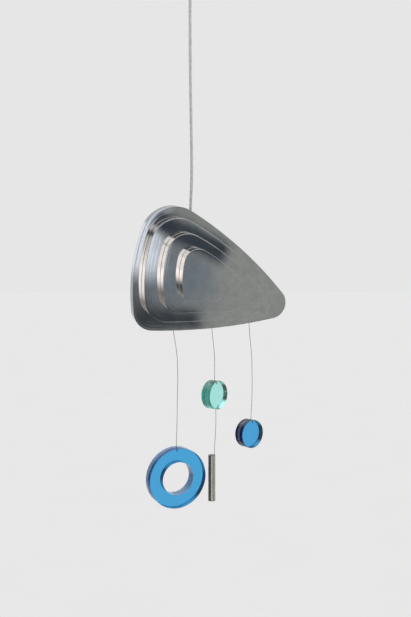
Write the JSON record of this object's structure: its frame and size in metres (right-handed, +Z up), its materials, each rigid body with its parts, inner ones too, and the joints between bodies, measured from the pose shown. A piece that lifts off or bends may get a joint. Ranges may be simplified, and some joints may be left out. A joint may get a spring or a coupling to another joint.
{
  "type": "hanging mobile",
  "caption": "Hanging mobile: stacked rounded metal plates on a wire rope, with a clear ring, clear discs and a metal rod hung below on thin wires.",
  "frame": {"origin": "inside top of the wire rope's eye, where the hook that carries the mobile touches it", "axes": "+Z straight up, -Y the way the plates' faces look, +X to the right as seen from that side"},
  "size_m": [0.1747, 0.0727, 0.5883],
  "materials": {
    "polished_plate": "polished almost to a mirror, with faint brushing and rolled edges",
    "wire_rope": "bright stranded steel rope",
    "thin_wire": "fine bright steel wire",
    "pressed_sleeve": "dull pressed aluminium",
    "blue_acrylic": "clear tinted acrylic with polished faces and rim",
    "green_acrylic": "clear tinted acrylic with polished faces and rim",
    "turned_rod": "satin turned metal with a plain sawn end"
  },
  "bodies": {
    "root": {"back_plate": "polished_plate", "second_plate": "polished_plate", "third_plate": "polished_plate", "front_plate": "polished_plate", "suspension_cable": "wire_rope", "loop_sleeve": "pressed_sleeve", "ring_wire": "thin_wire", "green_disc_wire": "thin_wire", "rod_wire": "thin_wire", "blue_disc_wire": "thin_wire", "blue_ring": "blue_acrylic", "green_disc": "green_acrylic", "blue_disc": "blue_acrylic", "metal_rod": "turned_rod"}
  },
  "joints": []
}
